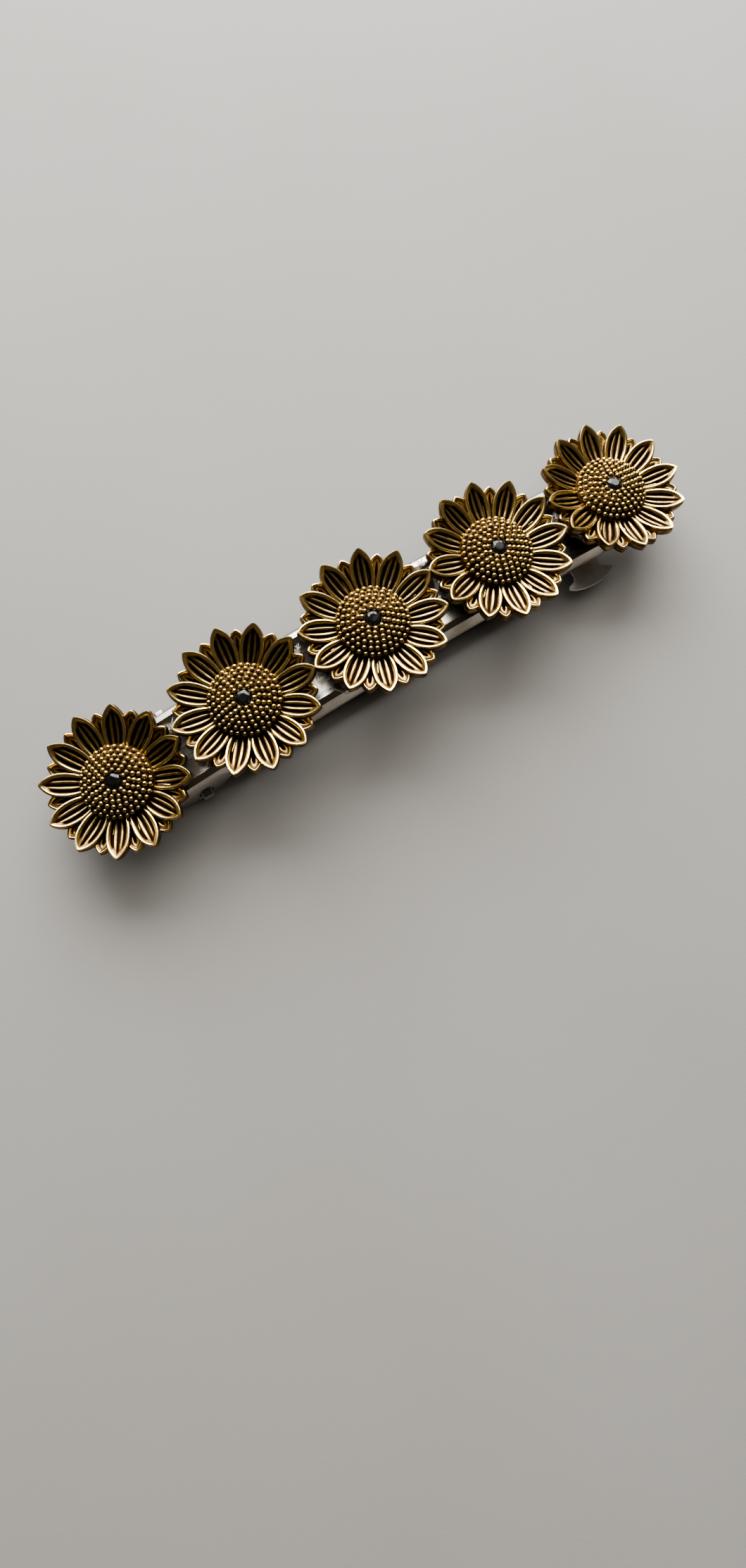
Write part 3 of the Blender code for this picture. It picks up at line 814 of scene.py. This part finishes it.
@dataclass
class Flower:
    """A cast sunflower: two rings of petals on a boss, a beaded seed head and a faceted stone."""

    number: int
    petal_count: int = 12
    hub_radius: float = 5.35 * MM
    boss_radius: float = 7.2 * MM
    boss_height: float = 1.2 * MM
    seat_height: float = 1.35 * MM
    seed_radius: float = 5.12 * MM
    seed_rise: float = 1.55 * MM
    seed_base: float = 1.75 * MM
    bead_radius: float = 0.37 * MM
    bead_jitter: float = 0.05 * MM
    bead_rings: tuple[tuple[float, int, float], ...] = (
        (4.72 * MM, 33, 0.0),
        (4.06 * MM, 28, 0.37),
        (3.40 * MM, 24, 0.81),
        (2.74 * MM, 19, 0.22),
        (2.08 * MM, 14, 0.64),
        (1.50 * MM, 10, 0.15),
    )
    stone_radius: float = 1.1 * MM
    stone_facets: int = 8
    upper: Petal = field(
        default_factory=lambda: Petal(
            kind=PetalKind.UPPER,
            foot=4.7 * MM,
            tip=10.32 * MM,
            foot_half_width=1.16 * MM,
            half_width=1.60 * MM,
            widest=0.44,
            rim_height=3.42 * MM,
            slope=0.31,
            rim_width=0.54 * MM,
            dish=0.36 * MM,
            groove_depth=0.30 * MM,
            grooves=((-0.52, 0.78), (0.0, 0.92), (0.52, 0.80)),
            groove_width=0.11,
            wall=1.5 * MM,
            hollow_patina=0.20,
        )
    )
    lower: Petal = field(
        default_factory=lambda: Petal(
            kind=PetalKind.LOWER,
            foot=4.9 * MM,
            tip=9.78 * MM,
            foot_half_width=0.9 * MM,
            half_width=1.22 * MM,
            widest=0.58,
            rim_height=2.25 * MM,
            slope=0.22,
            rim_width=0.40 * MM,
            dish=0.12 * MM,
            groove_depth=0.30 * MM,
            grooves=((0.0, 0.82),),
            groove_width=0.13,
            wall=1.2 * MM,
            hollow_patina=0.20,
        )
    )

    def dome_height(self, radius: float) -> float:
        """Height of the seed head's bare dome at a radius."""
        share = min(1.0, radius / self.seed_radius)
        round_part = math.sqrt(max(0.0, 1.0 - DOME_ROUNDNESS * share * share))
        return self.seed_base + self.seed_rise * round_part - DOME_EDGE_DROP * share**6

    def hub_mesh(self) -> Mesh:
        """The boss behind the petals, with the sunk seat round the seed head."""
        profile = [
            (0.0, self.seat_height, 0.9),
            (self.hub_radius - 0.15 * MM, self.seat_height, 0.95),
            (self.hub_radius, self.seat_height - 0.15 * MM, 0.95),
            (self.boss_radius - 0.7 * MM, self.boss_height - 0.1 * MM, 0.8),
            (self.boss_radius, self.boss_height - 0.3 * MM, 0.75),
            (self.boss_radius, 0.12 * MM, 0.6),
            (self.boss_radius - 0.12 * MM, 0.0, 0.5),
            (0.0, 0.0, 0.5),
        ]
        return turned_mesh("flower_hub", profile, 72)

    def dome_mesh(self) -> Mesh:
        """The dark dome that the beads stand on, with the stone's raised cup."""
        cup = self.stone_radius
        top = self.dome_height(0.0)
        profile = [
            (0.0, top - 0.5 * MM, 0.95),
            (cup * 0.75, top - 0.45 * MM, 0.95),
            (cup + 0.02 * MM, top - 0.02 * MM, 0.8),
            (cup + 0.08 * MM, top + 0.03 * MM, 0.55),
            (cup + 0.16 * MM, top + 0.0 * MM, 0.6),
            (cup + 0.24 * MM, top - 0.10 * MM, 0.9),
        ]
        for share in (0.35, 0.5, 0.65, 0.78, 0.88, 0.95, 0.985):
            radius = share * self.seed_radius
            profile.append((radius, self.dome_height(radius) - 0.05 * MM, DOME_PATINA))
        edge = self.dome_height(self.seed_radius)
        profile += [
            (self.seed_radius, edge - 0.04 * MM, 0.30),
            (self.seed_radius + 0.03 * MM, edge - 0.12 * MM, 0.35),
            (self.seed_radius, edge - 0.22 * MM, 0.9),
            (self.seed_radius - 0.05 * MM, self.seat_height - 0.05 * MM, 0.9),
            (0.0, self.seat_height - 0.05 * MM, 0.9),
        ]
        return turned_mesh("seed_dome", profile, 96)

    def bead_points(self) -> Mesh:
        """The points that the beads stand on, ring by ring, each ring turned its own share of a step."""
        dice = random.Random(17 * self.number)
        points = []
        for radius, count, phase in self.bead_rings:
            for k in range(count):
                reach = radius + dice.uniform(-1.0, 1.0) * self.bead_jitter
                angle = 2.0 * math.pi * (k + phase) / count
                angle += dice.uniform(-1.0, 1.0) * self.bead_jitter / radius
                lift = self.dome_height(reach) + 0.12 * self.bead_radius
                points.append((reach * math.cos(angle), reach * math.sin(angle), lift))
        mesh = bpy.data.meshes.new("bead_points")
        mesh.from_pydata(points, [], [])
        return mesh

    def stone_mesh(self) -> Mesh:
        """The stone: table, star and main facets, girdle and pavilion."""
        sides = self.stone_facets
        girdle = self.dome_height(0.0) + 0.02 * MM
        shape = bmesh.new()
        for radius, height, phase in (
            (0.52 * self.stone_radius, girdle + 0.34 * MM, 0.0),
            (0.80 * self.stone_radius, girdle + 0.22 * MM, 0.5),
            (self.stone_radius, girdle + 0.04 * MM, 0.0),
            (self.stone_radius, girdle, 0.0),
            (0.1 * self.stone_radius, girdle - 0.42 * MM, 0.0),
        ):
            step = 2.0 * math.pi / sides
            for i in range(sides):
                angle = step * (i + phase)
                shape.verts.new((radius * math.cos(angle), radius * math.sin(angle), height))
        bmesh.ops.convex_hull(shape, input=shape.verts)
        bmesh.ops.dissolve_limit(shape, angle_limit=math.radians(1.0), verts=shape.verts, edges=shape.edges)
        bmesh.ops.recalc_face_normals(shape, faces=shape.faces)
        mesh = bpy.data.meshes.new("faceted_stone")
        shape.to_mesh(mesh)
        shape.free()
        return mesh

    def build(self, seat: Seat, gold: Material, black: Material, trees: FlowerTrees) -> None:
        """Makes the flower's three shown pieces and sets them on the clip.

        Args:
            seat: Where the flower stands.
            gold: The castings' finish.
            black: The stone's finish.
            trees: The trees that repeat petals and beads.
        """
        prefix = f"flower_{self.number}"
        step = math.pi / self.petal_count
        layers = []
        for petal, phase in ((self.upper, 0.0), (self.lower, step)):
            values = {
                "Count": self.petal_count,
                "Phase": phase,
                "Wobble": 0.012,
                "Seed": 7 * self.number,
                "Material": gold,
            }
            layers.append(trees.petals.apply(petal.mesh(), f"{prefix}_{petal.kind.value}", values))
        hub = self.hub_mesh()
        hub.materials.append(gold)
        casting = join_meshes(f"{prefix}_casting", layers + [hub])
        beads = trees.beads.apply(
            self.bead_points(),
            f"{prefix}_beads",
            {"Bead Radius": self.bead_radius, "Size Spread": 0.06, "Seed": 11 * self.number, "Material": gold},
        )
        shade_beads(beads, self)
        dome = self.dome_mesh()
        dome.materials.append(gold)
        head = join_meshes(f"{prefix}_seeds", [dome, beads])
        stone = self.stone_mesh()
        stone.materials.append(black)
        for mesh, name, slot, node in (
            (casting, f"{prefix}_cast_petals", "antique_gold", f"{prefix}_petals"),
            (head, f"{prefix}_beaded_head", "seed_gold", f"{prefix}_seed_head"),
            (stone, f"{prefix}_faceted_stone", "black_stone", f"{prefix}_stone"),
        ):
            mesh.transform(seat.matrix)
            finish_piece(new_object(name, mesh), CLIP_BODY, [node])


@dataclass(frozen=True)
class FlowerTrees:
    """The Geometry Nodes trees that every flower uses."""

    petals: GeometryTree
    beads: GeometryTree


def shade_beads(mesh: Mesh, flower: Flower) -> None:
    """Gives beads a bright crown and a dark foot.

    Args:
        mesh: The beads.
        flower: The flower whose dome they stand on.
    """
    co = np.zeros(len(mesh.vertices) * 3, np.float32)
    mesh.vertices.foreach_get("co", co)
    points = co.reshape(-1, 3)
    reach = np.linalg.norm(points[:, :2], axis=1)
    foot = np.array([flower.dome_height(float(r)) for r in reach])
    share = np.clip((points[:, 2] - foot) / flower.bead_radius, -1.0, 1.2)
    tone = np.clip(0.95 - 0.95 * np.clip(share / 0.75, 0.0, 1.0), 0.16, 1.0)
    layer = mesh.attributes.get(PATINA) or mesh.attributes.new(PATINA, "FLOAT", "POINT")
    layer.data.foreach_set("value", tone.astype(np.float32))


def turned_mesh(name: str, profile: list[Triple], sides: int) -> Mesh:
    """A mesh turned about Z.

    Args:
        name: The mesh's name.
        profile: (radius, height, patina) points from the axis out and back to it.
        sides: Points round the axis.

    Returns:
        The mesh.
    """
    angles = 2.0 * math.pi * np.arange(sides) / sides
    rings = []
    tones = []
    for radius, height, tone in profile:
        level = np.full(sides, height)
        rings.append(np.column_stack([radius * np.cos(angles), radius * np.sin(angles), level]))
        tones.append(np.full(sides, tone))
    faces = loft_faces(len(profile), sides)
    mesh = mesh_from(name, np.concatenate(rings), faces, np.concatenate(tones))
    drop_degenerate(mesh, 1e-8)
    return mesh


# --------------------------------------------------------------------------------------- the clip


@dataclass(frozen=True)
class SheetPiece:
    """A stamped or turned metal piece: the frame's own solid with its edges broken."""

    node: str
    name: str
    body: str
    slot: str
    edge: float = 0.07 * MM
    smooth_under: float = 38.0

    def build(self, surface: Material) -> bpy.types.Object:
        """Makes the piece.

        Args:
            surface: Its finish.

        Returns:
            The piece.
        """
        mesh = bpy.data.objects[self.node].data.copy()
        mesh.name = self.name
        shape = bmesh.new()
        shape.from_mesh(mesh)
        bmesh.ops.remove_doubles(shape, verts=shape.verts, dist=1e-6)
        flat = math.radians(0.6)
        bmesh.ops.dissolve_limit(shape, angle_limit=flat, verts=shape.verts, edges=shape.edges)
        shape.to_mesh(mesh)
        shape.free()
        mesh.materials.clear()
        mesh.materials.append(surface)
        piece = new_object(self.name, mesh)
        bevel = piece.modifiers.new("broken_edges", "BEVEL")
        bevel.width = self.edge
        bevel.segments = 2
        bevel.limit_method = "ANGLE"
        bevel.angle_limit = math.radians(self.smooth_under)
        bevel.use_clamp_overlap = True
        made = evaluated_mesh(piece, self.name)
        piece.modifiers.clear()
        piece.data = made
        made.shade_smooth()
        made.set_sharp_from_angle(angle=math.radians(self.smooth_under))
        finish_piece(piece, self.body, [self.node])
        return piece


@dataclass(frozen=True)
class Clip:
    """The spring clip: bar, hinge, arm, tension spring and catch."""

    def build(self) -> None:
        """Makes and dresses every metal piece of the clip."""
        # The bar's and arm's steel: its own grey, made darker and browner to paint in the reflection of the
        # brown flowers around it.
        steel_and_brown_reflection = PlatedSteel("plate_steel_and_brown_reflection", (0.50, 0.46, 0.41), (0.30, 0.265, 0.225)).make()
        satin_tones = ((0.88, 0.865, 0.83), (0.76, 0.745, 0.71))
        satin = PlatedSteel("satin_steel", *satin_tones, 0.46, 0.60, 0.000004).make()
        spring_tones = ((0.60, 0.59, 0.57), (0.46, 0.45, 0.43))
        spring = PlatedSteel("spring_strip", *spring_tones, 0.20, 0.36, 0.000008).make()
        dull = PlatedSteel("dull_steel", (0.46, 0.45, 0.43), (0.32, 0.31, 0.30), 0.32, 0.48).make()
        pieces = (
            (SheetPiece("base_plate", "polished_bar", CLIP_BODY, "plate_steel", 0.12 * MM), steel_and_brown_reflection),
            (SheetPiece("clasp_arm", "hinged_arm", "arm", "arm_steel", 0.10 * MM), steel_and_brown_reflection),
            (SheetPiece("hinge_pin", "square_pin", "arm", "pin_steel", 0.08 * MM), dull),
            (SheetPiece("tension_spring", "bowed_spring", CLIP_BODY, "spring_steel", 0.08 * MM), spring),
            (SheetPiece("catch_bracket", "catch_base", CLIP_BODY, "bracket_steel"), satin),
            (SheetPiece("catch_tab_front", "thumb_tab_front", "tab_front", "tab_steel", 0.09 * MM), satin),
            (SheetPiece("catch_tab_rear", "thumb_tab_rear", "tab_rear", "tab_steel", 0.09 * MM), satin),
            (SheetPiece("spring_rivet", "spring_rivet_head", CLIP_BODY, "rivet_steel"), dull),
            (SheetPiece("catch_rivet_inner", "catch_rivet_one", CLIP_BODY, "rivet_steel"), dull),
            (SheetPiece("catch_rivet_outer", "catch_rivet_two", CLIP_BODY, "rivet_steel"), dull),
        )
        for piece, surface in pieces:
            piece.build(surface)


# -------------------------------------------------------------------------------------------- glue


@dataclass
class Adhesive:
    """The lumpy clear adhesive under one flower, squeezed out towards its neighbours."""

    number: int
    reach: float = 9.2 * MM
    half_width: float = 5.0 * MM
    thickness: float = 1.15 * MM
    rings: int = 14
    sides: int = 96

    def build(self, seat: Seat, surface: Material) -> None:
        """Makes the pad.

        Args:
            seat: The flower's seat.
            surface: The adhesive's finish.
        """
        points = []
        low = -1.18 * MM
        for side in (1.0, -1.0):
            for ring in range(self.rings + 1):
                share = ring / self.rings
                for k in range(self.sides):
                    angle = 2.0 * math.pi * k / self.sides
                    spin = Vector((math.cos(angle) * 2.2, math.sin(angle) * 2.2, self.number * 3.7))
                    wave = noise.noise(spin)
                    along = self.reach * (1.0 + 0.10 * wave)
                    across = self.half_width * (1.0 + 0.16 * wave)
                    x = share * along * math.cos(angle)
                    y = share * across * math.sin(angle)
                    spot = Vector((x, y, 0.0)) / (1.1 * MM) + Vector((0.0, 0.0, self.number * 9.1))
                    lump = noise.fractal(spot, 0.9, 2.1, 4)
                    full = math.sqrt(max(0.0, 1.0 - share**4))
                    if side > 0.0:
                        z = low + full * (self.thickness + 0.50 * MM * lump * share)
                    else:
                        z = low
                    points.append((x, y, max(z, low)))
        size = (self.rings + 1) * self.sides
        faces = loft_faces(self.rings + 1, self.sides) + loft_faces(self.rings + 1, self.sides, size)
        mesh = mesh_from(f"flower_{self.number}_adhesive", np.array(points), faces)
        drop_degenerate(mesh, 1e-7)
        mesh.materials.append(surface)
        turn = Matrix.Rotation(-self.turn_of(seat), 4, "Z")
        mesh.transform(seat.matrix @ turn)
        piece = new_object(f"flower_{self.number}_clear_adhesive", mesh)
        finish_piece(piece, CLIP_BODY, [f"flower_{self.number}_glue"])

    @staticmethod
    def turn_of(seat: Seat) -> float:
        """The angle from the clip's length to the flower's first petal, about the flower's axis."""
        along = seat.matrix.to_3x3().inverted() @ Vector((1.0, 0.0, 0.0))
        return -math.atan2(along.y, along.x)


@dataclass(frozen=True)
class GlueFan:
    """A feathery fan of fine ridges where the adhesive was pulled as it set."""

    station: float  # along the clip
    across: float
    height: float  # over the bar's top face
    heading: float  # degrees from the clip's length
    spread: float
    length: float
    hairs: int


@dataclass(frozen=True)
class GlueHairs:
    """The drawn strands of adhesive that show between the flowers."""

    thickness: float = 0.075 * MM
    arch_radius: float = 231.5 * MM
    crown: float = 10.0 * MM
    fans: tuple[GlueFan, ...] = (
        GlueFan(-10.4 * MM, 1.6 * MM, 1.5 * MM, 118.0, 92.0, 2.1 * MM, 13),
        GlueFan(-8.6 * MM, -3.6 * MM, 0.75 * MM, 20.0, 105.0, 1.6 * MM, 12),
        GlueFan(-10.0 * MM, -1.0 * MM, 1.3 * MM, -70.0, 60.0, 1.7 * MM, 8),
        GlueFan(10.2 * MM, 3.7 * MM, 1.5 * MM, 60.0, 80.0, 1.8 * MM, 9),
        GlueFan(10.6 * MM, -0.8 * MM, 1.2 * MM, 190.0, 95.0, 1.5 * MM, 9),
        GlueFan(-30.2 * MM, 2.4 * MM, 1.4 * MM, 100.0, 120.0, 1.8 * MM, 11),
        GlueFan(-29.4 * MM, -2.6 * MM, 1.2 * MM, -20.0, 90.0, 1.6 * MM, 9),
        GlueFan(29.6 * MM, 2.8 * MM, 1.2 * MM, 80.0, 90.0, 1.4 * MM, 7),
    )
    loops: tuple[tuple[Triple, ...], ...] = (
        ((-9.0, -4.6, 0.7), (-8.3, -5.4, 0.6), (-7.7, -5.9, 0.25), (-7.1, -5.8, 0.1), (-7.0, -5.3, 0.35)),
        ((-7.9, -4.9, 0.6), (-7.5, -5.3, 0.6), (-7.3, -5.9, 0.3)),
        ((8.9, 5.0, 0.5), (10.3, 4.3, 0.9), (11.8, 4.4, 0.7), (12.9, 5.1, 0.35)),
        ((9.0, 4.2, 0.8), (10.6, 3.4, 1.1), (12.2, 3.8, 0.8)),
    )

    def on_bar(self, station: float, across: float, height: float) -> Vector:
        """A point over the arched bar."""
        reach = self.arch_radius + height
        angle = station / self.arch_radius
        low = self.crown - self.arch_radius
        return Vector((reach * math.sin(angle), across, low + reach * math.cos(angle)))

    def strands(self) -> list[list[Vector]]:
        """The middle line of every strand."""
        lines = [[self.on_bar(*(value * MM for value in point)) for point in loop] for loop in self.loops]
        for fan in self.fans:
            dice = random.Random(round(fan.station / (0.1 * MM)))
            for k in range(fan.hairs):
                turn = fan.heading + fan.spread * ((k + dice.uniform(-0.25, 0.25)) / (fan.hairs - 1) - 0.5)
                bend = dice.uniform(-28.0, 28.0)
                size = fan.length * dice.uniform(0.7, 1.1)
                line = []
                for i in range(6):
                    share = i / 5.0
                    angle = math.radians(turn + bend * share)
                    along = size * (0.25 + 0.75 * share)
                    lift = fan.height * (1.0 - 0.45 * share * share)
                    point = (fan.station + along * math.cos(angle), fan.across + along * math.sin(angle), lift)
                    line.append(self.on_bar(*point))
                lines.append(line)
        return lines

    def build(self, surface: Material) -> None:
        """Makes every strand, as one piece.

        Args:
            surface: The adhesive's finish.
        """
        curve = bpy.data.curves.new("glue_strands", "CURVE")
        curve.dimensions = "3D"
        curve.bevel_depth = self.thickness
        curve.bevel_resolution = 1
        curve.use_fill_caps = True
        curve.resolution_u = 3
        for line in self.strands():
            spline = curve.splines.new("BEZIER")
            spline.bezier_points.add(len(line) - 1)
            for i, (knot, place) in enumerate(zip(spline.bezier_points, line)):
                knot.co = place
                knot.handle_left_type = knot.handle_right_type = "AUTO"
                knot.radius = 1.0 - 0.75 * abs(2.0 * i / (len(line) - 1) - 0.8) ** 2 / 1.44
        drawn = bpy.data.objects.new("glue_strands", curve)
        bpy.context.scene.collection.objects.link(drawn)
        mesh = evaluated_mesh(drawn, "glue_strands")
        bpy.data.objects.remove(drawn)
        shape = bmesh.new()
        shape.from_mesh(mesh)
        bmesh.ops.remove_doubles(shape, verts=shape.verts, dist=1e-7)
        bmesh.ops.recalc_face_normals(shape, faces=shape.faces)
        shape.to_mesh(mesh)
        shape.free()
        mesh.shade_smooth()
        mesh.materials.append(surface)
        finish_piece(new_object("drawn_glue_strands", mesh), CLIP_BODY, [])


# ------------------------------------------------------------------------------------------ studio


@dataclass(frozen=True)
class Studio:
    """The paper floor, the soft light and the camera."""

    camera_place: Triple = (-32.9 * MM, -44.9 * MM, 163.45 * MM)
    camera_right: Triple = (0.84562, -0.53316, 0.02566)
    camera_up: Triple = (0.51613, 0.82898, 0.21540)
    lens: float = 27.09
    floor_side: float = 1.6

    def build(self) -> None:
        """Makes the whole studio."""
        self.add_floor()
        self.add_camera()
        self.add_light("window", (0.13, 0.29, 0.24), (0.50, 0.30), 6.2, (1.0, 0.99, 0.975))
        bounce = self.add_light("ceiling_bounce", (0.10, 0.10, 0.60), (0.60, 0.60), 4.6, (1.0, 0.965, 0.92))
        bounce.visible_glossy = False
        world = bpy.data.worlds.new("studio_air")
        world.use_nodes = True
        world.node_tree.nodes["Background"].inputs["Color"].default_value = (0.062, 0.054, 0.045, 1.0)
        world.node_tree.nodes["Background"].inputs["Strength"].default_value = 1.0
        bpy.context.scene.world = world
        bpy.context.scene.view_settings.look = "AgX - Medium High Contrast"

    def add_floor(self) -> None:
        """The paper, at the height that the arm rests on."""
        shape = bmesh.new()
        bmesh.ops.create_grid(shape, x_segments=2, y_segments=2, size=self.floor_side / 2.0)
        mesh = bpy.data.meshes.new("paper_floor")
        shape.to_mesh(mesh)
        shape.free()
        mesh.materials.append(Paper().make())
        mesh.transform(Matrix.Translation((0.0, 0.0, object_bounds()[0].z - 0.02 * MM)))
        new_object("paper_floor", mesh)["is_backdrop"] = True

    def add_camera(self) -> None:
        """The camera, above the hinge end and a little in front."""
        data = bpy.data.cameras.new("camera")
        data.lens = self.lens
        data.sensor_width = 36.0
        data.clip_start = 0.01
        camera = bpy.data.objects.new("camera", data)
        bpy.context.scene.collection.objects.link(camera)
        right = Vector(self.camera_right).normalized()
        up = Vector(self.camera_up)
        up = (up - up.dot(right) * right).normalized()
        back = right.cross(up)
        turn = Matrix((right, up, back)).transposed().to_4x4()
        camera.matrix_world = Matrix.Translation(self.camera_place) @ turn
        bpy.context.scene.camera = camera

    def add_light(
        self, name: str, place: Triple, size: tuple[float, float], power: float, colour: Triple
    ) -> bpy.types.Object:
        """An oblong area light that faces the object.

        Args:
            name: The light's name.
            place: Where it stands.
            size: Its width and height.
            power: Watts.
            colour: Its colour.

        Returns:
            The light.
        """
        data = bpy.data.lights.new(name, "AREA")
        data.shape = "RECTANGLE"
        data.size, data.size_y = size
        data.energy = power
        data.color = colour
        light = bpy.data.objects.new(name, data)
        bpy.context.scene.collection.objects.link(light)
        light.location = place
        light.rotation_euler = (-Vector(place)).to_track_quat("-Z", "Y").to_euler()
        return light


# -------------------------------------------------------------------------------------------- main


def main() -> None:
    """Builds the barrette's looks, part by part."""
    logging.basicConfig(level=logging.INFO, format="%(name)s: %(message)s")
    for item in list(bpy.data.objects):
        bpy.data.objects.remove(item, do_unlink=True)
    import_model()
    Studio().build()
    gold = AntiqueGold().make()
    black = BlackStone().make()
    clear = ClearGlue().make()
    trees = FlowerTrees(petal_ring_tree(), bead_tree())
    for number in range(1, 6):
        seat = Seat.of_flower(number)
        Flower(number).build(seat, gold, black, trees)
        Adhesive(number).build(seat, clear)
    GlueHairs().build(clear)
    Clip().build()


if __name__ == "__main__":
    main()
